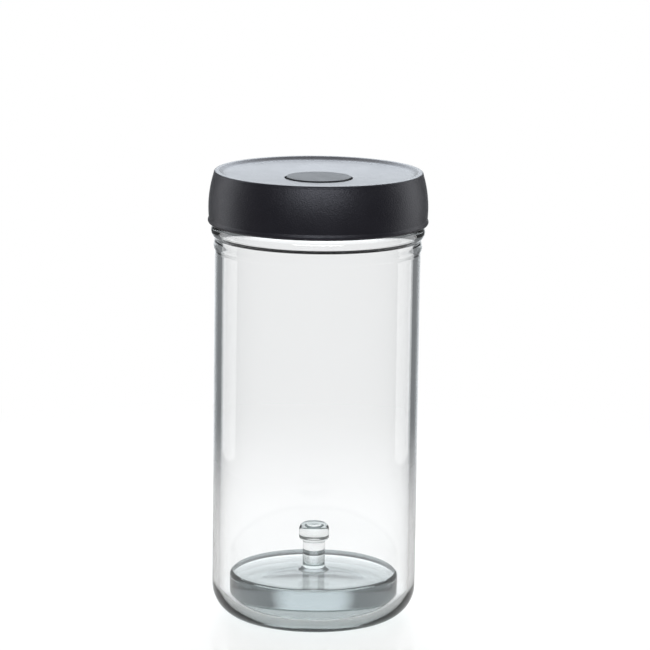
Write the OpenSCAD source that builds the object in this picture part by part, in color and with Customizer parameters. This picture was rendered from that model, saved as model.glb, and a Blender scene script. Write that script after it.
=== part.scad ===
// Fermentation jar: a tall glass jar with a screw lid, a rim seal, a vent that lets
// gas out by itself, and a loose glass weight that holds the filling under its brine.
// The origin is on the table, in the middle of the base, with +Z up the jar's axis.

/* [Jar] */
// Outside diameter of the glass body
body_d = 101; // [92:0.5:112]
// Thickness of the glass wall
wall = 3.5; // [2.6:0.1:4.5]
// Thickness of the glass floor
floor_t = 5; // [3.5:0.5:8]
// Height from the table to the glass rim
jar_h = 215.5; // [150:0.5:280]
// Outside radius of the rounded bottom corner
corner_r = 16; // [12:0.5:20]
// Radius of the hollow under the base
hollow_r = 28; // [20:0.5:30]
// Depth of the hollow under the base
hollow_h = 1.5; // [0.6:0.1:2.5]

/* [Neck] */
// How far the threaded neck stands back from the body
neck_step = 1; // [0.4:0.1:1.2]
// Rounding of the glass rim
rim_round = 1.1; // [0.6:0.1:1.4]
// How far the collar stands out of the body
collar_out = 0.3; // [0.1:0.1:1.2]
// How far the shoulder ring stands out of the collar
ring_out = 0.4; // [0.1:0.1:0.8]
// Radius of the shoulder ring's round
ring_round = 4.5; // [3:0.5:7]
// Height from the shoulder ring up to the rim
ring_drop = 29; // [28:0.5:36]
// How far the bead stands out of the collar
bead_out = 1.75; // [1:0.05:2.5]
// Radius of the bead's round
bead_round = 3.8; // [2.6:0.1:4]
// Height from the middle of the bead up to the rim
bead_drop = 21.5; // [21.4:0.1:24]

/* [Lid] */
// How far the skirt reaches down below the glass rim
skirt_drop = 18; // [14:0.5:18]
// Room for the thread between the neck and the lid's bore
thread_room = 1.8; // [1.4:0.1:2.4]
// Thickness of the skirt where it is widest
skirt_t = 2.6; // [2.2:0.1:4.5]
// How far the skirt draws in towards the top
skirt_taper = 2.6; // [1:0.1:3]
// Height of the skirt's widest point above its lower edge
skirt_widest = 8; // [4:0.5:10]
// How far the lip round the lower edge stands out
lip_out = 0.25; // [0.15:0.05:0.8]
// Rounding of the lip
lip_round = 1.5; // [1:0.1:1.5]
// Thickness of the top plate
plate_t = 2.5; // [2:0.1:4]
// Depth of the dish in the top, at the vent
dish_depth = 3.5; // [2.5:0.1:4.5]
// Width of the rim round the dish
dish_rim = 2.4; // [1.8:0.1:4]
// Width of the round edge of the dish
dish_edge_w = 4.2; // [3:0.1:5]
// Height of the round edge of the dish
dish_edge_h = 2.1; // [1.6:0.1:2.4]
// Rounding of the top edge
edge_round = 0.9; // [0.5:0.1:1]

/* [Seal] */
// Thickness of the rim seal
seal_t = 2; // [1.5:0.1:3]
// How far the seal reaches inside the glass rim
seal_inset = 1.5; // [1:0.1:2]
// Rounding of the seal's edges
seal_round = 0.5; // [0.2:0.1:0.7]
// Thickness of the rib that centres the seal
rib_t = 2; // [1.5:0.1:3]
// Height of the rib that centres the seal
rib_h = 3.5; // [2.5:0.1:6]

/* [Vent] */
// Diameter of the vent button
button_d = 32; // [30:0.5:40]
// Thickness of the vent button
button_t = 2.4; // [2:0.1:2.8]
// How far the button stands out of the dish
button_proud = 0.8; // [0.4:0.1:1.2]
// Rounding of the button's edge
button_round = 0.6; // [0.3:0.1:0.8]
// Gap round the button, where the gas comes out
button_gap = 0.7; // [0.4:0.1:1.2]
// Depth of the well under the button
well_depth = 5; // [4.6:0.1:7]
// Thickness of the well's wall
well_t = 1.8; // [1.4:0.1:2.5]
// Thickness of the valve seat
seat_t = 1.8; // [1.4:0.1:2.5]
// Number of vent holes in the seat
vent_count = 6; // [4:1:8]
// Diameter of a vent hole
vent_d = 3; // [2:0.1:3.4]
// Diameter of the circle of vent holes
vent_circle_d = 16; // [15:0.5:17]
// Diameter of the valve's head
head_d = 26; // [25:0.5:28]
// Thickness of the valve's head
head_t = 1.8; // [1.6:0.1:2]
// Width of the valve's sealing lip
valve_lip_w = 2; // [1.4:0.1:2.2]
// Height of the space under the valve's head
head_lift = 0.6; // [0.4:0.1:0.8]
// Diameter of the valve's stem
stem_d = 6; // [5:0.1:6.4]
// Diameter of the barb that keeps the valve in the seat
barb_d = 8.6; // [8:0.1:10]
// Length of the barb
barb_h = 3.2; // [2.4:0.1:4]
// Length of the barb's straight part
barb_land = 1; // [0.6:0.1:1.4]
// Diameter of the barb's tip
barb_tip_d = 3; // [2:0.1:4]
// Diameter of the peg that the button clips on
peg_d = 6; // [5:0.1:7]
// Height of the peg that the button clips on
peg_h = 2; // [1.8:0.1:2]
// Thickness of the hub round the peg
hub_t = 2.4; // [1.6:0.1:3]
// How far gas can lift the valve
vent_travel = 1.2; // [0.8:0.1:1.6]

/* [Weight] */
// Gap between the weight and the glass wall
weight_gap = 5.2; // [4:0.1:7]
// Thickness of the weight
weight_t = 16; // [12:0.5:20]
// Rounding of the weight's edges
weight_round = 2; // [1.5:0.1:4]
// Diameter of the knob's stem
knob_d = 11; // [9:0.5:13]
// Diameter of the knob's head
knob_head_d = 15; // [14:0.5:18]
// Height of the knob's head
knob_head_h = 9; // [8:0.5:11]
// Rounding of the knob's head
knob_round = 3.4; // [2:0.1:3.5]
// Height of the whole knob
knob_h = 24; // [20:0.5:30]
// Fillet at the foot of the knob
knob_fillet = 3; // [1:0.5:5]

/* [Fits] */
// Clearance between the valve's stem and its hole
stem_clear = 0.3; // [0.2:0.05:0.4]
// Clearance between the seal and the lid
seal_clear = 0.3; // [0.2:0.05:0.5]
// Clearance between the weight and the glass it lies on
weight_clear = 0.3; // [0.2:0.05:0.5]
// Clearance between the button's hub and the peg
peg_clear = 0.1; // [0.05:0.05:0.2]

/* [Hidden] */
$fn = 128;
// Steps round the two largest arcs
arc_fn = 720;
// How far a cut runs past the face that it opens
cut_over = 1;
// Largest share of the neck's wall that one rounding of the rim takes
rim_share = 0.45;
// Share of the rounded top edge in which the skirt ends
edge_share = 0.75;

// Glass: radii from the axis, and heights above the table
body_r = body_d / 2;
bore_r = body_r - wall;
neck_r = body_r - neck_step;
collar_r = body_r + collar_out;
ring_z = jar_h - ring_drop;
bead_z = jar_h - bead_drop;
bore_corner = corner_r - wall;
rim_edge = min(rim_round, rim_share * (neck_r - bore_r));

// Lid: the seal lies on the rim, and the plate lies on the seal
lid_bore_r = neck_r + thread_room;
skirt_r = lid_bore_r + skirt_t;
lip_r = skirt_r + lip_out;
lid_top_r = skirt_r - skirt_taper;
ceiling_z = jar_h + seal_t;
dish_z = ceiling_z + plate_t;
lid_top_z = dish_z + dish_depth;
lid_z = jar_h - skirt_drop;
lid_h = lid_top_z - lid_z;
dish_r = lid_top_r - dish_rim;
widest_z = lid_z + skirt_widest;
taper_h = lid_top_z - edge_round - widest_z;
skirt_arc_r = (taper_h * taper_h + skirt_taper * skirt_taper) / (2 * skirt_taper);

// Seal: between the rib and the bore of the lid
seal_in_r = bore_r - seal_inset;
seal_out_r = lid_bore_r - seal_clear;
rib_r = seal_in_r - seal_clear;

// Vent: the valve lies on the seat, and the button lies on the valve
button_r = button_d / 2;
well_r = button_r + button_gap;
seat_z = dish_z - well_depth;
head_top_z = seat_z + head_t;
button_top_z = dish_z + button_proud;
button_z = button_top_z - button_t;
barb_top_z = seat_z - seat_t - vent_travel - stem_clear;
socket_top_z = head_top_z + peg_h + peg_clear;

// Dish: its floor falls from the round edge to the well of the vent
floor_r = dish_r - dish_edge_w;
floor_z = lid_top_z - dish_edge_h;
floor_fall = atan((floor_z - dish_z) / (floor_r - well_r));
edge_reach = dish_edge_h * cos(floor_fall) - dish_edge_w * sin(floor_fall);
edge_arc_r = (dish_edge_w * dish_edge_w + dish_edge_h * dish_edge_h) / (2 * edge_reach);
edge_mid_r = floor_r - edge_arc_r * sin(floor_fall);
edge_mid_z = floor_z + edge_arc_r * cos(floor_fall);

// Weight: its rounded edge lies in the rounded corner of the glass floor
weight_r = bore_r - weight_gap;
corner_reach = (weight_r - weight_round) - (bore_r - bore_corner);
corner_span = bore_corner - weight_round - weight_clear;
weight_corner_z = floor_t + bore_corner - sqrt(corner_span * corner_span - corner_reach * corner_reach);
weight_z = corner_reach > 0 ? weight_corner_z - weight_round : floor_t + weight_clear;

// Half section of a round slab with both edges rounded
module slab_section(r, h, edge) {
    square([r - edge, h]);
    translate([0, edge]) square([r, h - 2 * edge]);
    for (z = [edge, h - edge]) translate([r - edge, z]) circle(edge);
}

// Half section of a thin round slab whose edge is a half round
module bullnose_section(r, edge) {
    square([r - edge, 2 * edge]);
    translate([r - edge, edge]) circle(edge);
}

// Half section of a round pocket with a filleted floor
module pocket_section(r, h, fillet) {
    square([r - fillet, h]);
    translate([0, fillet]) square([r, h - fillet]);
    translate([r - fillet, fillet]) circle(fillet);
}

// Section of a ring between two radii, with all four edges rounded
module ring_section(r_in, r_out, h, edge) {
    translate([r_in + edge, 0]) square([r_out - r_in - 2 * edge, h]);
    translate([r_in, edge]) square([r_out - r_in, h - 2 * edge]);
    for (r = [r_in + edge, r_out - edge], z = [edge, h - edge]) translate([r, z]) circle(edge);
}

// Outline of the glass as if it were solid
module jar_outline() {
    pocket_section(body_r, ring_z, corner_r);
    translate([0, ring_z]) square([collar_r, bead_z - ring_z]);
    translate([collar_r + ring_out - ring_round, ring_z]) circle(ring_round);
    translate([collar_r + bead_out - bead_round, bead_z]) circle(bead_round);
    translate([0, bead_z]) square([neck_r, bead_drop - rim_edge]);
    translate([bore_r + rim_edge, jar_h - 2 * rim_edge])
        bullnose_section(neck_r - bore_r - rim_edge, rim_edge);
    translate([bore_r + rim_edge, jar_h - rim_edge]) circle(rim_edge);
}

module jar() {
    hollow_arc_r = (hollow_r * hollow_r + hollow_h * hollow_h) / (2 * hollow_h);
    color([0.87, 0.92, 0.92, 0.35])
    rotate_extrude()
    difference() {
        jar_outline();
        translate([0, floor_t]) pocket_section(bore_r, jar_h, bore_corner);
        translate([0, hollow_h - hollow_arc_r]) circle(hollow_arc_r, $fn = arc_fn);
    }
}

module weight() {
    color([0.82, 0.89, 0.9, 0.35])
    translate([0, 0, weight_z])
    rotate_extrude() {
        slab_section(weight_r, weight_t, weight_round);
        translate([0, weight_t]) {
            square([knob_d / 2, knob_h - knob_head_h / 2]);
            difference() {
                square(knob_d / 2 + knob_fillet);
                translate([knob_d / 2 + knob_fillet, knob_fillet]) circle(knob_fillet);
                translate([0, knob_fillet]) square(knob_d + knob_fillet);
            }
            translate([0, knob_h - knob_head_h]) slab_section(knob_head_d / 2, knob_head_h, knob_round);
        }
    }
}

module lid_seal() {
    color([0.62, 0.63, 0.62])
    rotate_extrude()
    translate([0, jar_h]) ring_section(seal_in_r, seal_out_r, seal_t, seal_round);
}

// Outline of the lid as if it were solid: lip, convex skirt and rounded top edge
module lid_outline() {
    skirt_z = lid_z + lip_round;
    skirt_top_z = lid_top_z - edge_share * edge_round;
    translate([0, lid_z]) bullnose_section(lip_r, lip_round);
    intersection() {
        translate([0, skirt_z]) square([lip_r, skirt_top_z - skirt_z]);
        translate([skirt_r - skirt_arc_r, widest_z]) circle(skirt_arc_r, $fn = arc_fn);
    }
    translate([0, lid_top_z - 2 * edge_round]) bullnose_section(lid_top_r, edge_round);
}

// Half section of the dish: a floor that falls to the vent, and a round edge that leads up to the rim
module dish_section() {
    polygon([
        [0, dish_z], [well_r, dish_z], [floor_r, floor_z], [edge_mid_r, edge_mid_z], [0, edge_mid_z]
    ]);
    translate([edge_mid_r, edge_mid_z]) circle(edge_arc_r);
}

module lid_section() {
    difference() {
        union() {
            difference() {
                lid_outline();
                dish_section();
                translate([0, lid_z - cut_over]) square([lid_bore_r, ceiling_z - lid_z + cut_over]);
            }
            translate([rib_r - rib_t, ceiling_z - rib_h]) square([rib_t, rib_h + plate_t / 2]);
            translate([0, seat_z - seat_t]) square([well_r + well_t, dish_z - seat_z + seat_t]);
        }
        translate([0, seat_z]) square([well_r, lid_h]);
    }
}

module lid() {
    hole_z = seat_z - seat_t - cut_over;
    hole_h = seat_t + 2 * cut_over;
    color([0.12, 0.12, 0.13])
    difference() {
        rotate_extrude() lid_section();
        translate([0, 0, hole_z]) cylinder(d = stem_d + 2 * stem_clear, h = hole_h);
        for (i = [0 : vent_count - 1]) rotate(i * 360 / vent_count)
            translate([vent_circle_d / 2, 0, hole_z]) cylinder(d = vent_d, h = hole_h);
    }
}

module vent_valve() {
    barb_r = barb_d / 2;
    stem_r = stem_d / 2;
    color([0.2, 0.2, 0.21])
    rotate_extrude() {
        difference() {
            translate([0, seat_z]) square([head_d / 2, head_t]);
            translate([stem_r, seat_z - head_t])
                square([head_d / 2 - valve_lip_w - stem_r, head_t + head_lift]);
        }
        translate([0, head_top_z]) square([peg_d / 2, peg_h]);
        translate([0, barb_top_z]) square([stem_r, head_top_z - barb_top_z]);
        translate([0, barb_top_z - barb_h])
            polygon([
                [0, 0], [barb_tip_d / 2, 0], [barb_r, barb_h - barb_land], [barb_r, barb_h], [0, barb_h]
            ]);
    }
}

module vent_button() {
    socket_r = peg_d / 2 + peg_clear;
    color([0.2, 0.2, 0.21])
    rotate_extrude()
    difference() {
        union() {
            translate([0, button_z]) slab_section(button_r, button_t, button_round);
            translate([0, head_top_z]) square([socket_r + hub_t, button_z - head_top_z + button_t / 2]);
        }
        translate([0, head_top_z]) square([socket_r, socket_top_z - head_top_z]);
    }
}

jar();
weight();
lid_seal();
lid();
vent_valve();
vent_button();
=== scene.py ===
import math

import bmesh
import bpy
from mathutils import Matrix, Vector


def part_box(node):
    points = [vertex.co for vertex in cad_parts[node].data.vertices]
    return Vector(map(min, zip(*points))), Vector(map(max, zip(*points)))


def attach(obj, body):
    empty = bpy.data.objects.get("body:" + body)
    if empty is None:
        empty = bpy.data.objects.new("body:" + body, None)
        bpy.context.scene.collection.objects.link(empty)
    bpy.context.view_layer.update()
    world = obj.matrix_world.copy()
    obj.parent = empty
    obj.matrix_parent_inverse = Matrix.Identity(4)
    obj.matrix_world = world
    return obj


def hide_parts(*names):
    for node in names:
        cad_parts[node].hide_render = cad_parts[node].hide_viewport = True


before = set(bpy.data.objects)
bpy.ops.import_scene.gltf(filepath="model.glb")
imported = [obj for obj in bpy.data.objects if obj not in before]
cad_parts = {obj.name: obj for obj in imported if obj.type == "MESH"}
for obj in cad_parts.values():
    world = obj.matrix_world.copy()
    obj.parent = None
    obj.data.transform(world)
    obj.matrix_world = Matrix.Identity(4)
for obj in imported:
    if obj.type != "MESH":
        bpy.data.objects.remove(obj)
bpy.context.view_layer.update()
print("frame loaded, nodes:", ", ".join(sorted(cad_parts)))

mm = 0.001  # every piece's dictionary is in millimetres
sharpDeg = 32  # edges that turn by more than this stay crisp
noiseLow, noiseHigh = 0.3, 0.7  # nearly all of a noise lies between these


# outlines: points are (radius, height) in millimetres

def roundCorners(corners, closed=False, stepDeg=9.0):
    # each corner is (radius, height, rounding); a rounded one turns into an arc
    path = []
    count = len(corners)
    for i, (radius, height, rounding) in enumerate(corners):
        here = Vector((radius, height))
        atEnd = not closed and i in (0, count - 1)
        if atEnd or rounding == 0:
            path.append(here)
            continue
        back = (Vector(corners[i - 1][:2]) - here).normalized()
        ahead = (Vector(corners[(i + 1) % count][:2]) - here).normalized()
        half = back.angle(ahead) / 2
        middle = here + (back + ahead).normalized() * rounding / math.sin(half)
        start = here + back * rounding / math.tan(half) - middle
        turn = math.pi - 2 * half
        if back.x * ahead.y - back.y * ahead.x > 0:
            turn = -turn
        steps = max(2, math.ceil(math.degrees(abs(turn)) / stepDeg))
        for k in range(steps + 1):
            angle = turn * k / steps
            path.append(middle + Vector((
                start.x * math.cos(angle) - start.y * math.sin(angle),
                start.x * math.sin(angle) + start.y * math.cos(angle))))
    return path


def splitLong(path, longest, closed=False):
    # long straight stretches get extra rows, so their shading stays straight
    rows = []
    ends = list(path[1:]) + ([path[0]] if closed else [])
    for start, end in zip(path, ends):
        parts = max(1, math.ceil((end - start).length / longest))
        rows += [start.lerp(end, k / parts) for k in range(parts)]
    if not closed:
        rows.append(path[-1])
    return rows


def smoothMax(a, b, soft):
    near = max(soft - abs(a - b), 0.0) / soft
    return max(a, b) + near * near * soft / 4


def smoothStep(value, low, high):
    t = min(max((value - low) / (high - low), 0.0), 1.0)
    return t * t * (3 - 2 * t)


def threadHeight(thread, angle, height):
    # how far the screw ridge stands out of the plain wall
    # height counts from the jar's rim or from the lid's lower edge
    tallest = 0.0
    first = math.radians(thread["firstDeg"])
    run = thread["runoutDeg"] / thread["spanDeg"]
    for start in range(thread["starts"]):
        along = (angle - first - 2 * math.pi * start / thread["starts"]) % (2 * math.pi)
        along = math.degrees(along) / thread["spanDeg"]
        if along > 1:
            continue
        off = abs(height - thread["low"] - thread["rise"] * along) / (thread["width"] / 2)
        if off < 1:
            fade = smoothStep(along, 0, run) * smoothStep(1 - along, 0, run)
            flank = min(1.0, thread["steep"] * (1 - off))
            tallest = max(tallest, thread["tall"] * fade * flank * flank * (3 - 2 * flank))
    return tallest


# meshes

def spinMesh(name, path, segments, closed=False, longest=5.0, bulge=None):
    tiny = 1e-6  # a row this near the axis is a single point
    rows = splitLong(path, longest, closed)
    shape = bmesh.new()
    rings = []
    for row in rows:
        if row.x < tiny:
            rings.append([shape.verts.new((0, 0, row.y * mm))])
            continue
        ring = []
        for k in range(segments):
            angle = 2 * math.pi * k / segments
            radius = row.x + (bulge(row, angle) if bulge else 0.0)
            place = (radius * mm * math.cos(angle), radius * mm * math.sin(angle), row.y * mm)
            ring.append(shape.verts.new(place))
        rings.append(ring)
    pairs = list(zip(rings, rings[1:]))
    if closed:
        pairs.append((rings[-1], rings[0]))
    for lower, upper in pairs:
        for k in range(segments):
            n = (k + 1) % segments
            corners = [lower[k % len(lower)], lower[n % len(lower)],
                       upper[n % len(upper)], upper[k % len(upper)]]
            shape.faces.new(list(dict.fromkeys(corners)))
    bmesh.ops.recalc_face_normals(shape, faces=shape.faces)
    return finishMesh(name, shape)


def smoothShade(mesh):
    mesh.shade_smooth()
    mesh.set_sharp_from_angle(angle=math.radians(sharpDeg))


def finishMesh(name, shape):
    mesh = bpy.data.meshes.new(name)
    shape.to_mesh(mesh)
    shape.free()
    smoothShade(mesh)
    piece = bpy.data.objects.new(name, mesh)
    bpy.context.scene.collection.objects.link(piece)
    return piece


def cutHoles(piece, cutter):
    near = 0.002 * mm  # the cut leaves a few points this close together
    cut = piece.modifiers.new("holes", "BOOLEAN")
    cut.operation = "DIFFERENCE"
    cut.solver = "EXACT"
    cut.object = cutter
    bpy.context.view_layer.update()
    evaluated = piece.evaluated_get(bpy.context.evaluated_depsgraph_get())
    mesh = bpy.data.meshes.new_from_object(evaluated)
    shape = bmesh.new()
    shape.from_mesh(mesh)
    bmesh.ops.remove_doubles(shape, verts=shape.verts, dist=near)
    bmesh.ops.dissolve_degenerate(shape, edges=shape.edges, dist=near)
    manySided = [face for face in shape.faces if len(face.verts) > 4]
    bmesh.ops.triangulate(shape, faces=manySided)
    shape.to_mesh(mesh)
    shape.free()
    piece.modifiers.clear()
    piece.data = mesh
    smoothShade(mesh)
    bpy.data.objects.remove(cutter)


def dress(piece, material, body, node):
    piece.data.materials.clear()
    piece.data.materials.append(material)
    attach(piece, body)
    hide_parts(node)
    print("piece done:", piece.name, len(piece.data.polygons), "faces")


# materials

def startMaterial(name):
    material = bpy.data.materials.new(name)
    material.use_nodes = True
    tree = material.node_tree
    return material, tree, tree.nodes["Principled BSDF"]


def addNode(tree, kind, **values):
    node = tree.nodes.new(kind)
    for key, value in values.items():
        setattr(node, key, value)
    return node


def noiseOf(tree, scale, detail=3.0, distortion=0.0):
    place = addNode(tree, "ShaderNodeTexCoord")
    noise = addNode(tree, "ShaderNodeTexNoise")
    noise.inputs["Scale"].default_value = scale
    noise.inputs["Detail"].default_value = detail
    noise.inputs["Distortion"].default_value = distortion
    tree.links.new(place.outputs["Object"], noise.inputs["Vector"])
    return noise.outputs["Fac"]


def rangeOf(tree, source, low, high):
    spread = addNode(tree, "ShaderNodeMapRange")
    spread.inputs["From Min"].default_value = noiseLow
    spread.inputs["From Max"].default_value = noiseHigh
    spread.inputs["To Min"].default_value = low
    spread.inputs["To Max"].default_value = high
    tree.links.new(source, spread.inputs["Value"])
    return spread.outputs["Result"]


def maskOf(tree, source, low, high, first=0.0, last=1.0):
    edge = addNode(tree, "ShaderNodeMapRange", interpolation_type="SMOOTHSTEP")
    edge.inputs["From Min"].default_value = low
    edge.inputs["From Max"].default_value = high
    edge.inputs["To Min"].default_value = first
    edge.inputs["To Max"].default_value = last
    tree.links.new(source, edge.inputs["Value"])
    return edge.outputs["Result"]


def colourOf(tree, source, dark, light):
    ramp = addNode(tree, "ShaderNodeValToRGB")
    ends = ((noiseLow, dark), (noiseHigh, light))
    for element, (position, colour) in zip(ramp.color_ramp.elements, ends):
        element.position = position
        element.color = (*colour, 1)
    tree.links.new(source, ramp.inputs["Fac"])
    return ramp.outputs["Color"]


def bumpOf(tree, source, depth, strength=None):
    bump = addNode(tree, "ShaderNodeBump")
    bump.inputs["Strength"].default_value = 1.0
    bump.inputs["Distance"].default_value = depth * mm
    tree.links.new(source, bump.inputs["Height"])
    if strength is not None:
        tree.links.new(strength, bump.inputs["Strength"])
    return bump.outputs["Normal"]


def mathOf(tree, operation, first, second):
    # second is another socket or a plain number
    node = addNode(tree, "ShaderNodeMath", operation=operation)
    tree.links.new(first, node.inputs[0])
    if isinstance(second, float):
        node.inputs[1].default_value = second
    else:
        tree.links.new(second, node.inputs[1])
    return node.outputs["Value"]


def mixOf(tree, factor, first, second):
    mix = addNode(tree, "ShaderNodeMixShader")
    tree.links.new(factor, mix.inputs["Fac"])
    tree.links.new(first, mix.inputs[1])
    tree.links.new(second, mix.inputs[2])
    return mix.outputs["Shader"]


def levelOf(tree, axes):
    # the same vector without its height
    flat = addNode(tree, "ShaderNodeCombineXYZ")
    tree.links.new(axes.outputs["X"], flat.inputs["X"])
    tree.links.new(axes.outputs["Y"], flat.inputs["Y"])
    return flat.outputs["Vector"]


def clearGlass(name, look):
    material, tree, glass = startMaterial(name)
    glass.inputs["Base Color"].default_value = (*look["tint"], 1)
    glass.inputs["IOR"].default_value = look["ior"]
    glass.inputs["Transmission Weight"].default_value = 1.0
    haze = rangeOf(tree, noiseOf(tree, look["hazeScale"]), 0.0, look["haze"])
    tree.links.new(haze, glass.inputs["Roughness"])
    waves = bumpOf(tree, noiseOf(tree, look["waveScale"], detail=1.0), look["waveDepth"])
    tree.links.new(waves, glass.inputs["Normal"])
    # light passes on to the floor, so the glass throws a pale shadow
    path = addNode(tree, "ShaderNodeLightPath")
    through = addNode(tree, "ShaderNodeBsdfTransparent")
    through.inputs["Color"].default_value = (*look["shadow"], 1)
    whole = mixOf(tree, path.outputs["Is Shadow Ray"], glass.outputs["BSDF"], through.outputs["BSDF"])
    tree.links.new(whole, tree.nodes["Material Output"].inputs["Surface"])
    body = addNode(tree, "ShaderNodeVolumeAbsorption")
    body.inputs["Color"].default_value = (*look["bodyColour"], 1)
    body.inputs["Density"].default_value = look["density"]
    tree.links.new(body.outputs["Volume"], tree.nodes["Material Output"].inputs["Volume"])
    return material


def clouded(tree, shader, look):
    # colour and gloss drift a little over a moulding
    cloud = noiseOf(tree, look["cloudScale"], look["cloudDetail"], look["cloudTwist"])
    tree.links.new(colourOf(tree, cloud, look["dark"], look["light"]), shader.inputs["Base Color"])
    gloss = rangeOf(tree, cloud, look["smooth"], look["rough"])
    tree.links.new(gloss, shader.inputs["Roughness"])
    return cloud, gloss


def startPlastic(name, look):
    material, tree, plastic = startMaterial(name)
    plastic.inputs["Specular Tint"].default_value = (*look["shineTint"], 1)
    return material, tree, plastic


def grainOf(tree, look, strength=None):
    return bumpOf(tree, noiseOf(tree, look["grainScale"], detail=2.0), look["grainDepth"], strength)


def mouldedPlastic(name, look):
    material, tree, plastic = startPlastic(name, look)
    clouded(tree, plastic, look)
    tree.links.new(grainOf(tree, look), plastic.inputs["Normal"])
    return material


def softSilicone(name, look):
    material, tree, silicone = startMaterial(name)
    clouded(tree, silicone, look)
    silicone.inputs["Subsurface Weight"].default_value = look["scatter"]
    silicone.inputs["Subsurface Radius"].default_value = (1, 1, 1)
    silicone.inputs["Subsurface Scale"].default_value = look["scatterDepth"] * mm
    tree.links.new(grainOf(tree, look), silicone.inputs["Normal"])
    return material


# jar: clear glass with a bead, a threaded neck and a big bottom corner

jarGlass = {
    "bodyRadius": 50.5, "wall": 3.5, "floor": 5.0, "corner": 16.0,
    "hollowRadius": 28.0, "hollowRise": 1.5, "hollowRows": 12,  # under the base
    "neckRadius": 49.5, "neckBelow": 0.5, "neckAbove": 2.5, "rimRound": 1.1,  # starts round the bead
    "collarRadius": 50.8, "collarBlend": 1.0, "plainBelow": 8.0,  # wall between ring and bead
    "ringOut": 0.4, "ringRound": 4.5, "ringDrop": 29.0,  # soft ring at the shoulder
    "beadRound": 3.8, "beadDrop": 21.5, "soft": 0.4,  # bead under the lid
    "rowStep": 0.4, "cornerStepDeg": 5.0, "segments": 256,  # fineness of the mesh
    "thread": {"starts": 3, "firstDeg": 20, "spanDeg": 128, "low": -14.0, "rise": 7.2,
               "width": 2.8, "tall": 0.8, "steep": 1.7, "runoutDeg": 14, "aboveBead": 3.0},
    "look": {
        "tint": (1.0, 1.0, 1.0), "ior": 1.48, "haze": 0.02, "hazeScale": 35.0,
        "waveScale": 28.0, "waveDepth": 0.05, "shadow": (0.93, 0.95, 0.95),
        "bodyColour": (0.5, 0.58, 0.6), "density": 16.0,  # faint grey-green in the thickness
    },
}


def makeJar(size, material):
    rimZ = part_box("jar")[1].z / mm
    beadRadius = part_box("jar")[1].x / mm
    ringZ, beadZ = rimZ - size["ringDrop"], rimZ - size["beadDrop"]
    boreRadius = size["bodyRadius"] - size["wall"]
    boreCorner = size["corner"] - size["wall"]
    ringMiddle = size["collarRadius"] + size["ringOut"] - size["ringRound"]
    beadMiddle = beadRadius - size["beadRound"]

    def roundAt(height, middle, middleZ, radius):
        off = radius * radius - (height - middleZ) ** 2
        return middle + math.sqrt(off) if off > 0 else 0.0

    def wallAt(height):
        onCollar = smoothStep(height, ringZ - size["collarBlend"], ringZ + size["collarBlend"])
        onNeck = smoothStep(height, beadZ - size["neckBelow"], beadZ + size["neckAbove"])
        wall = size["bodyRadius"]
        wall += (size["collarRadius"] - wall) * onCollar
        wall += (size["neckRadius"] - wall) * onNeck
        wall = smoothMax(wall, roundAt(height, ringMiddle, ringZ, size["ringRound"]), size["soft"])
        return smoothMax(wall, roundAt(height, beadMiddle, beadZ, size["beadRound"]), size["soft"])

    # a shallow hollow under the base, then the corner, the wall and neck, and the inside
    hollow = (size["hollowRadius"] ** 2 + size["hollowRise"] ** 2) / (2 * size["hollowRise"])
    hollowAt = [size["hollowRadius"] * k / size["hollowRows"] for k in range(size["hollowRows"])]
    under = [Vector((r, size["hollowRise"] - hollow + math.sqrt(hollow ** 2 - r ** 2))) for r in hollowAt]
    firstZ, lastZ = ringZ - size["plainBelow"], rimZ - 2 * size["rimRound"]
    rowCount = round((lastZ - firstZ) / size["rowStep"])
    walls = [firstZ + (lastZ - firstZ) * k / rowCount for k in range(rowCount + 1)]
    foot = roundCorners([
        (0, 0, 0), (size["hollowRadius"], 0, 0), (size["bodyRadius"], 0, size["corner"]),
        (size["bodyRadius"], firstZ, 0)], stepDeg=size["cornerStepDeg"])
    inside = roundCorners([
        (size["neckRadius"], lastZ, 0), (size["neckRadius"], rimZ, size["rimRound"]),
        (boreRadius, rimZ, size["rimRound"]), (boreRadius, size["floor"], boreCorner),
        (0, size["floor"], 0)], stepDeg=size["cornerStepDeg"])
    outside = [Vector((wallAt(z), z)) for z in walls]
    path = under + foot[1:-1] + outside + inside[1:]
    threadFrom = beadZ + size["thread"]["aboveBead"]
    midWall = (boreRadius + size["neckRadius"]) / 2

    def bulge(row, angle):
        onNeck = row.x > midWall and threadFrom < row.y < lastZ
        return threadHeight(size["thread"], angle, row.y - rimZ) if onNeck else 0.0

    jar = spinMesh("jar_glass", path, size["segments"], bulge=bulge)
    dress(jar, material, "jar", "jar")


makeJar(jarGlass, clearGlass("clear_jar_glass", jarGlass["look"]))


# weight: a thick pressed disc with a knob to lift it by

weightGlass = {
    "thick": 16.0, "edge": 2.0, "knobRadius": 5.5, "headRadius": 7.5, "headTall": 9.0, "headSlope": 1.0,
    "headRound": 3.4, "footRound": 3.0, "underRound": 1.6, "segments": 224,
    "look": {
        "tint": (1.0, 1.0, 1.0), "ior": 1.5, "haze": 0.02, "hazeScale": 35.0,
        "waveScale": 60.0, "waveDepth": 0.03, "shadow": (0.9, 0.93, 0.93),
        "bodyColour": (0.6, 0.72, 0.74), "density": 10.0,
    },
}


def makeWeight(size, material):
    low, high = (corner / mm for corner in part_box("weight"))
    top = low.z + size["thick"]
    headZ = high.z - size["headTall"]
    path = roundCorners([
        (0, low.z, 0), (high.x, low.z, size["edge"]), (high.x, top, size["edge"]),
        (size["knobRadius"], top, size["footRound"]), (size["knobRadius"], headZ, size["underRound"]),
        (size["headRadius"], headZ + size["headSlope"], size["underRound"]),
        (size["headRadius"], high.z, size["headRound"]), (0, high.z, 0)])
    weight = spinMesh("glass_weight", path, size["segments"])
    dress(weight, material, "weight", "weight")


makeWeight(weightGlass, clearGlass("clear_weight_glass", weightGlass["look"]))


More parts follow.
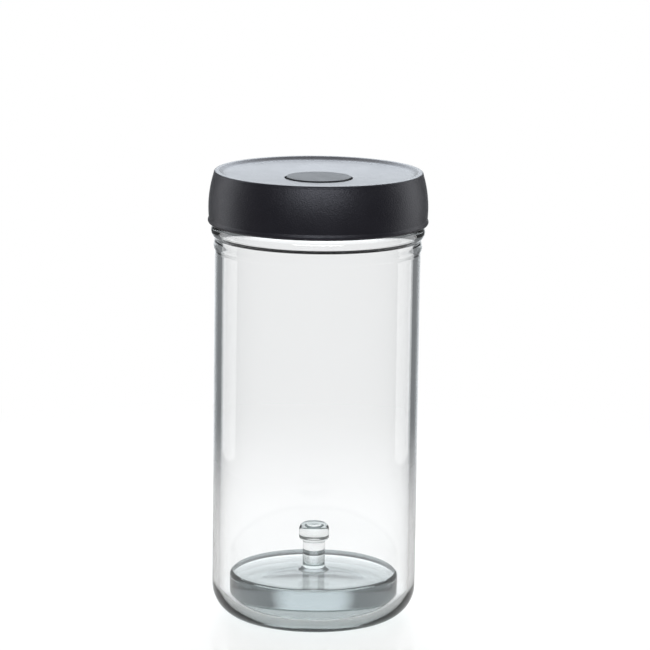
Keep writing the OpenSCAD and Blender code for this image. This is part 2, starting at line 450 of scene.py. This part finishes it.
# lid: black moulding with a convex skirt, a dished top and a well for the vent

lidPlastic = {
    "boreRadius": 51.3, "lipOut": 0.25, "lipRound": 1.5, "taper": 2.6, "widest": 8.0, "soft": 0.3,
    "edgeRound": 1.1, "edgeIn": 0.05, "leanOut": 0.1, "leanDown": 0.4,  # top edge of the skirt
    "rimWide": 2.4, "rimRound": 1.0, "plate": 2.5,
    "dishDeep": 3.5, "dishEdgeWide": 2.5, "dishEdgeTall": 1.7, "dishRound": 5.0,
    "ribIn": 43.2, "ribOut": 45.2, "ribTall": 3.5,  # centres the seal
    "wellRadius": 16.7, "wellDeep": 5.0, "wellWall": 1.8, "wellEdge": 0.3, "seat": 1.8,
    "innerRound": 0.5, "underRound": 0.6, "fineRound": 0.2,
    "stemHole": 3.3, "ventHole": 1.5, "ventCircle": 8.0, "ventCount": 6, "ventFlare": 0.25,
    "punchOver": 0.2, "punchSegments": 32,  # punches pass the seat's faces a little
    "mouthFace": 1.0, "mouthTall": 1.0, "mouthRound": 0.4,  # lower inside edge
    "threadTop": 12.0, "rowStep": 0.35, "skirtRows": 60, "segments": 256,
    "thread": {"starts": 3, "firstDeg": 20, "spanDeg": 110, "low": 3.3, "rise": 6.2,
               "width": 2.6, "tall": 0.8, "steep": 1.7, "runoutDeg": 12, "slack": 0.01},
    "look": {
        "dark": (0.0076, 0.0066, 0.0104), "light": (0.011, 0.0098, 0.0146),
        "cloudScale": 60.0, "cloudDetail": 4.0, "cloudTwist": 0.4,
        "shineTint": (0.86, 0.89, 1.0), "smooth": 0.38, "rough": 0.44,
        "grainScale": 1500.0, "grainDepth": 0.13,
        "topSmooth": 0.34, "topRough": 0.39, "topGrain": 0.2,
        "topRadius": 50.9, "topBlend": 0.3, "topFrom": 4.4, "topTo": 3.9,  # how far the top's finish goes
    },
}


def lidFinish(name, look, topZ):
    # fine spark grain on the skirt, a smoother dish and rim on top
    material, tree, plastic = startPlastic(name, look)
    cloud, gloss = clouded(tree, plastic, look)
    place = addNode(tree, "ShaderNodeTexCoord")
    axes = addNode(tree, "ShaderNodeSeparateXYZ")
    tree.links.new(place.outputs["Object"], axes.inputs["Vector"])
    away = addNode(tree, "ShaderNodeVectorMath", operation="LENGTH")
    tree.links.new(levelOf(tree, axes), away.inputs[0])
    outer, blend = look["topRadius"], look["topBlend"]
    inner = maskOf(tree, away.outputs["Value"], (outer + blend) * mm, (outer - blend) * mm)
    upper = maskOf(tree, axes.outputs["Z"], (topZ - look["topFrom"]) * mm, (topZ - look["topTo"]) * mm)
    onTop = mathOf(tree, "MULTIPLY", inner, upper)
    both = addNode(tree, "ShaderNodeMix")
    tree.links.new(onTop, both.inputs["Factor"])
    tree.links.new(gloss, both.inputs["A"])
    tree.links.new(rangeOf(tree, cloud, look["topSmooth"], look["topRough"]), both.inputs["B"])
    tree.links.new(both.outputs["Result"], plastic.inputs["Roughness"])
    fine = addNode(tree, "ShaderNodeMapRange")
    fine.inputs["To Min"].default_value = 1.0
    fine.inputs["To Max"].default_value = look["topGrain"]
    tree.links.new(onTop, fine.inputs["Value"])
    tree.links.new(grainOf(tree, look, fine.outputs["Result"]), plastic.inputs["Normal"])
    return material


def makePunches(size, underZ, seatZ):
    # flared punches, one for each vent hole
    hole, flare, over = size["ventHole"], size["ventFlare"], size["punchOver"]
    punchPath = [Vector(point) for point in (
        (0, underZ - over), (hole + flare + over, underZ - over), (hole, underZ + flare),
        (hole, seatZ - flare), (hole + flare + over, seatZ + over), (0, seatZ + over))]
    punches = bmesh.new()
    punch = spinMesh("punch", punchPath, size["punchSegments"])
    for k in range(size["ventCount"]):
        turn = Matrix.Rotation(2 * math.pi * k / size["ventCount"], 4, "Z")
        copy = punch.data.copy()
        copy.transform(turn @ Matrix.Translation((size["ventCircle"] * mm, 0, 0)))
        punches.from_mesh(copy)
        bpy.data.meshes.remove(copy)
    bpy.data.objects.remove(punch)
    return finishMesh("punches", punches)


def makeLid(size, material):
    low, high = (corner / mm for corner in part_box("lid"))
    bottomZ, lipRadius = low.z, high.x
    skirtRadius = lipRadius - size["lipOut"]
    topRadius = skirtRadius - size["taper"]
    widestZ = bottomZ + size["widest"]
    edgeZ = high.z - size["edgeRound"]
    dishZ = high.z - size["dishDeep"]
    ceilingZ = dishZ - size["plate"]
    seatZ = dishZ - size["wellDeep"]
    underZ = seatZ - size["seat"]
    ribZ = ceilingZ - size["ribTall"]
    threadTop = bottomZ + size["threadTop"]
    rise = edgeZ - widestZ
    arc = (rise * rise + size["taper"] ** 2) / (2 * size["taper"])
    boreRadius = size["boreRadius"]
    faceRadius = boreRadius + size["mouthFace"]
    wellOut = size["wellRadius"] + size["wellWall"]
    lipZ = bottomZ + size["lipRound"]
    rimIn = topRadius - size["rimWide"]

    def skirtAt(height):
        skirt = skirtRadius - arc + math.sqrt(arc ** 2 - (height - widestZ) ** 2)
        off = size["lipRound"] ** 2 - (height - lipZ) ** 2
        lip = lipRadius - size["lipRound"] + math.sqrt(off) if off > 0 else 0.0
        return smoothMax(skirt, lip, size["soft"])

    lip = roundCorners([
        (faceRadius, bottomZ, 0), (skirtAt(lipZ), bottomZ, size["lipRound"]), (skirtAt(lipZ), edgeZ, 0)])
    rows = size["skirtRows"]
    skirtZ = [lipZ + (edgeZ - lipZ) * k / rows for k in range(1, rows)]
    skirt = [Vector((skirtAt(z), z)) for z in skirtZ]
    # inside the rim a soft slope leads down to the dish, which falls gently to the well
    inner, under, fine = size["innerRound"], size["underRound"], size["fineRound"]
    rest = roundCorners([
        (topRadius + size["leanOut"], edgeZ - size["leanDown"], 0),
        (topRadius - size["edgeIn"], high.z, size["edgeRound"]), (rimIn, high.z, size["rimRound"]),
        (rimIn - size["dishEdgeWide"], high.z - size["dishEdgeTall"], size["dishRound"]),
        (size["wellRadius"], dishZ, size["wellEdge"]), (size["wellRadius"], seatZ, inner),
        (size["stemHole"], seatZ, fine), (size["stemHole"], underZ, fine),
        (wellOut, underZ, under), (wellOut, ceilingZ, under),
        (size["ribIn"], ceilingZ, inner), (size["ribIn"], ribZ, under),
        (size["ribOut"], ribZ, under), (size["ribOut"], ceilingZ, fine),
        (boreRadius, ceilingZ, inner), (boreRadius, threadTop, 0)])
    rowCount = round((size["threadTop"] - size["mouthTall"]) / size["rowStep"])
    bore = [Vector((boreRadius, threadTop - size["rowStep"] * k)) for k in range(1, rowCount)]
    mouth = roundCorners([
        (boreRadius, bottomZ + size["mouthTall"], 0), (boreRadius, bottomZ, size["mouthRound"]),
        (faceRadius, bottomZ, 0)])
    path = lip[:-1] + skirt + rest[1:] + bore + mouth[:-1]

    def bulge(row, angle):
        inBore = abs(row.x - boreRadius) < size["thread"]["slack"] and row.y < threadTop
        return -threadHeight(size["thread"], angle, row.y - bottomZ) if inBore else 0.0

    lid = spinMesh("screw_lid", path, size["segments"], closed=True, bulge=bulge)
    cutHoles(lid, makePunches(size, underZ, seatZ))
    dress(lid, material, "lid", "lid")


makeLid(lidPlastic, lidFinish("matt_black_plastic", lidPlastic["look"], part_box("lid")[1].z / mm))


# seal: flat silicone ring with two fine grooves in its underside

sealSilicone = {
    "innerRadius": 45.5, "edge": 0.5, "grooves": (46.3, 50.0), "grooveWide": 0.5, "grooveDeep": 0.2,
    "grooveEdge": 0.08, "grooveFoot": 0.1, "segments": 224,
    "look": {
        "dark": (0.5, 0.51, 0.5), "light": (0.6, 0.61, 0.6),
        "cloudScale": 45.0, "cloudDetail": 3.0, "cloudTwist": 0.0,
        "smooth": 0.42, "rough": 0.55, "scatter": 0.2, "scatterDepth": 2.0,
        "grainScale": 900.0, "grainDepth": 0.01,
    },
}


def makeSeal(size, material):
    low, high = (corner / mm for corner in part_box("lid_seal"))
    half, edge = size["grooveWide"] / 2, size["grooveEdge"]
    under = [(size["innerRadius"], low.z, size["edge"])]
    for groove in size["grooves"]:
        under += [(groove - half, low.z, edge), (groove, low.z + size["grooveDeep"], size["grooveFoot"]),
                  (groove + half, low.z, edge)]
    under.append((high.x, low.z, size["edge"]))
    over = [(high.x, high.z, size["edge"]), (size["innerRadius"], high.z, size["edge"])]
    path = roundCorners(under + over, closed=True)
    seal = spinMesh("rim_seal", path, size["segments"], closed=True)
    dress(seal, material, "seal", "lid_seal")


makeSeal(sealSilicone, softSilicone("grey_silicone", sealSilicone["look"]))


# vent: a soft mushroom valve under a loose round button

valveSilicone = {
    "headTall": 1.8, "headLift": 0.6, "headRim": 1.1, "crownWide": 3.0, "crownRound": 2.0,
    "lipWide": 2.0, "lipRound": 0.2, "stemRadius": 3.0, "barbRadius": 4.3, "barbTip": 1.5,
    "barbTall": 3.2, "barbLand": 1.0, "pegTall": 2.0, "pegRadius": 3.0,
    "edge": 0.25, "softEdge": 0.4, "segments": 128,
    "look": {
        "dark": (0.035, 0.035, 0.037), "light": (0.05, 0.05, 0.052),
        "cloudScale": 120.0, "cloudDetail": 3.0, "cloudTwist": 0.0,
        "smooth": 0.5, "rough": 0.62, "scatter": 0.0, "scatterDepth": 2.0,
        "grainScale": 1800.0, "grainDepth": 0.01,
    },
}


def makeValve(size, material):
    low, high = (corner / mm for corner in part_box("vent_valve"))
    headTop = high.z - size["pegTall"]
    seatZ = headTop - size["headTall"]
    liftZ = seatZ + size["headLift"]
    barbZ = low.z + size["barbTall"]
    lipIn = high.x - size["lipWide"]
    edge, soft = size["edge"], size["softEdge"]
    path = roundCorners([
        (0, low.z, 0), (size["barbTip"], low.z, edge),
        (size["barbRadius"], barbZ - size["barbLand"], soft), (size["barbRadius"], barbZ, edge),
        (size["stemRadius"], barbZ, edge), (size["stemRadius"], liftZ, soft),
        (lipIn, liftZ, size["lipRound"]), (lipIn, seatZ, edge), (high.x, seatZ, edge),
        (high.x, seatZ + size["headRim"], soft), (high.x - size["crownWide"], headTop, size["crownRound"]),
        (size["pegRadius"], headTop, soft), (size["pegRadius"], high.z, edge), (0, high.z, 0)])
    valve = spinMesh("vent_valve_soft", path, size["segments"])
    dress(valve, material, "vent", "vent_valve")


makeValve(valveSilicone, softSilicone("black_silicone", valveSilicone["look"]))

ventButton = {
    "thick": 2.4, "edge": 0.5, "underEdge": 0.4, "crown": 0.12,
    "hubRadius": 5.5, "hubEdge": 0.3, "hubFoot": 0.5,
    "socketRadius": 3.1, "socketDeep": 2.1, "socketEdge": 0.2, "socketFoot": 0.15, "segments": 192,
    "look": {
        "dark": (0.0195, 0.0202, 0.0225), "light": (0.026, 0.0271, 0.0297),
        "cloudScale": 90.0, "cloudDetail": 4.0, "cloudTwist": 0.4,
        "shineTint": (0.86, 0.91, 1.0), "smooth": 0.58, "rough": 0.66,
        "grainScale": 1900.0, "grainDepth": 0.012,
    },
}


def makeButton(size, material):
    low, high = (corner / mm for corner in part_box("vent_button"))
    underZ = high.z - size["thick"]
    socketZ = low.z + size["socketDeep"]
    path = roundCorners([
        (0, socketZ, 0), (size["socketRadius"], socketZ, size["socketFoot"]),
        (size["socketRadius"], low.z, size["socketEdge"]), (size["hubRadius"], low.z, size["hubEdge"]),
        (size["hubRadius"], underZ, size["hubFoot"]), (high.x, underZ, size["underEdge"]),
        (high.x, high.z - size["crown"], size["edge"]), (0, high.z, 0)])
    button = spinMesh("vent_button_disc", path, size["segments"])
    dress(button, material, "vent", "vent_button")


makeButton(ventButton, mouldedPlastic("matt_grey_plastic", ventButton["look"]))


# studio, in metres: pale floor that runs out into a white background

floorSet = {
    "radius": 2.6, "below": 0.0001, "segments": 96, "paper": (0.615, 0.6, 0.588), "glow": 0.45,
    "gloss": 0.1, "glossRough": 0.06, "fadeFrom": 0.15, "fadeTo": 0.5,
}
skySet = {
    "shown": 1.0, "fill": 0.22, "frontMirror": 0.16, "backMirror": 1.0, "glassMirror": 0.24,
    "backFrom": 0.93, "backTo": 0.99, "mirrorTint": (0.93, 0.97, 1.0),
}


def seenRays(tree, path):
    # what the camera meets, also straight through the glass
    # rays mirrored on the way meet the dimmer room
    once = 0.5  # between no mirroring and one
    either = mathOf(tree, "MAXIMUM", path.outputs["Is Camera Ray"], path.outputs["Is Transmission Ray"])
    straight = mathOf(tree, "LESS_THAN", path.outputs["Glossy Depth"], once)
    return mathOf(tree, "MULTIPLY", either, straight)


def makeFloor(size):
    shape = bmesh.new()
    bmesh.ops.create_circle(shape, cap_ends=True, segments=size["segments"], radius=size["radius"])
    floor = finishMesh("studio_floor", shape)
    floor.location.z = -size["below"]
    material, tree, principled = startMaterial("pale_floor")
    tree.nodes.remove(principled)
    matt = addNode(tree, "ShaderNodeBsdfDiffuse")
    matt.inputs["Color"].default_value = (*size["paper"], 1)
    glow = addNode(tree, "ShaderNodeEmission")
    glow.inputs["Strength"].default_value = size["glow"]
    lit = addNode(tree, "ShaderNodeAddShader")
    tree.links.new(matt.outputs["BSDF"], lit.inputs[0])
    tree.links.new(glow.outputs["Emission"], lit.inputs[1])
    gloss = addNode(tree, "ShaderNodeBsdfGlossy")
    gloss.inputs["Roughness"].default_value = size["glossRough"]
    shine = addNode(tree, "ShaderNodeMixShader")
    shine.inputs["Fac"].default_value = size["gloss"]
    tree.links.new(lit.outputs["Shader"], shine.inputs[1])
    tree.links.new(gloss.outputs["BSDF"], shine.inputs[2])
    # the camera and the glass see the lifted floor; bounced light meets the plain matt one
    seen = seenRays(tree, addNode(tree, "ShaderNodeLightPath"))
    # far from the jar the floor gives way to the white background
    place = addNode(tree, "ShaderNodeTexCoord")
    away = addNode(tree, "ShaderNodeVectorMath", operation="LENGTH")
    tree.links.new(place.outputs["Object"], away.inputs[0])
    far = maskOf(tree, away.outputs["Value"], size["fadeFrom"], size["fadeTo"])
    white = addNode(tree, "ShaderNodeEmission")
    clear = addNode(tree, "ShaderNodeBsdfTransparent")
    shown = mixOf(tree, far, shine.outputs["Shader"], white.outputs["Emission"])
    plain = mixOf(tree, far, matt.outputs["BSDF"], clear.outputs["BSDF"])
    whole = mixOf(tree, seen, plain, shown)
    tree.links.new(whole, tree.nodes["Material Output"].inputs["Surface"])
    floor.data.materials.append(material)


def makeSky(size):
    world = bpy.data.worlds.new("white_studio")
    bpy.context.scene.world = world
    world.use_nodes = True
    tree = world.node_tree
    fill = tree.nodes["Background"]
    shown = addNode(tree, "ShaderNodeBackground")
    mirror = addNode(tree, "ShaderNodeBackground")
    for light, strength in ((fill, size["fill"]), (shown, size["shown"])):
        light.inputs["Color"].default_value = (1, 1, 1, 1)
        light.inputs["Strength"].default_value = strength
    mirror.inputs["Color"].default_value = (*size["mirrorTint"], 1)
    # gloss meets a bright wall at the back and a dim room in front
    place = addNode(tree, "ShaderNodeTexCoord")
    axes = addNode(tree, "ShaderNodeSeparateXYZ")
    tree.links.new(place.outputs["Generated"], axes.inputs["Vector"])
    level = addNode(tree, "ShaderNodeVectorMath", operation="NORMALIZE")
    tree.links.new(levelOf(tree, axes), level.inputs[0])
    heading = addNode(tree, "ShaderNodeSeparateXYZ")
    tree.links.new(level.outputs["Vector"], heading.inputs["Vector"])
    wall = maskOf(tree, heading.outputs["Y"], size["backFrom"], size["backTo"],
                  size["frontMirror"], size["backMirror"])
    # what the glass mirrors inside itself comes from a room that is a little lighter
    path = addNode(tree, "ShaderNodeLightPath")
    within = mathOf(tree, "MULTIPLY", path.outputs["Is Transmission Ray"], size["glassMirror"])
    tree.links.new(mathOf(tree, "MAXIMUM", wall, within), mirror.inputs["Strength"])
    plain = mixOf(tree, path.outputs["Is Glossy Ray"], fill.outputs["Background"],
                  mirror.outputs["Background"])
    whole = mixOf(tree, seenRays(tree, path), plain, shown.outputs["Background"])
    tree.links.new(whole, tree.nodes["World Output"].inputs["Surface"])


# lamps aim at a height on the jar's axis
neutral, cool = (1.0, 1.0, 1.0), (0.88, 0.94, 1.0)
lampSet = {
    "top_softbox": {"place": (0.0, 0.625, 1.3), "aimZ": 0.2, "wide": 1.3, "tall": 0.53,
                    "watts": 5.2, "tint": neutral},
    "back_softbox": {"place": (0.0, 1.3, 0.75), "aimZ": 0.2, "wide": 1.0, "tall": 0.6,
                     "watts": 3.8, "tint": cool},
    "high_softbox": {"place": (0.0, 1.1, 1.02), "aimZ": 0.2, "wide": 1.25, "tall": 0.5,
                     "watts": 8.6, "tint": cool},
    "front_softbox": {"place": (0.0, -1.4, 0.9), "aimZ": 0.2, "wide": 1.5, "tall": 0.4,
                      "watts": 13.0, "tint": neutral},
    "left_strip": {"place": (-0.6, 0.25, 0.3), "aimZ": 0.12, "wide": 0.36, "tall": 0.8,
                   "watts": 1.5, "tint": neutral},
    "right_strip": {"place": (0.6, 0.25, 0.3), "aimZ": 0.12, "wide": 0.36, "tall": 0.8,
                    "watts": 1.5, "tint": neutral},
}


def addLamp(name, lamp):
    light = bpy.data.lights.new(name, "AREA")
    light.color = lamp["tint"]
    light.shape = "RECTANGLE"
    light.size = lamp["wide"]
    light.size_y = lamp["tall"]
    light.energy = lamp["watts"]
    box = bpy.data.objects.new(name, light)
    bpy.context.scene.collection.objects.link(box)
    box.location = lamp["place"]
    aim = Vector((0, 0, lamp["aimZ"])) - Vector(lamp["place"])
    box.rotation_euler = aim.to_track_quat("-Z", "Y").to_euler()
    box.visible_camera = False
    box.visible_transmission = False


makeFloor(floorSet)
makeSky(skySet)
for lampName, lamp in lampSet.items():
    addLamp(lampName, lamp)
print("floor, sky and lamps done")


# camera: a little above the lid, as in the photograph

cameraSet = {
    "distance": 1.8, "height": 0.4939, "pitchDeg": 10.92, "rollDeg": 0.776, "yawDeg": 0.129,
    "lens": 205.9, "sensor": 36.0, "clipStart": 0.05,
}


def makeCamera(size):
    data = bpy.data.cameras.new("photo_camera")
    data.lens = size["lens"]
    data.sensor_width = size["sensor"]
    data.clip_start = size["clipStart"]
    camera = bpy.data.objects.new("photo_camera", data)
    bpy.context.scene.collection.objects.link(camera)
    turn = Matrix.Rotation(-math.radians(size["yawDeg"]), 4, "Z")
    tilt = Matrix.Rotation(math.radians(90 - size["pitchDeg"]), 4, "X")
    roll = Matrix.Rotation(math.radians(size["rollDeg"]), 4, "Z")
    place = Matrix.Translation((0, -size["distance"], size["height"]))
    camera.matrix_world = place @ turn @ tilt @ roll
    bpy.context.scene.camera = camera


makeCamera(cameraSet)
bpy.context.scene.view_settings.view_transform = "Standard"
print("camera done")
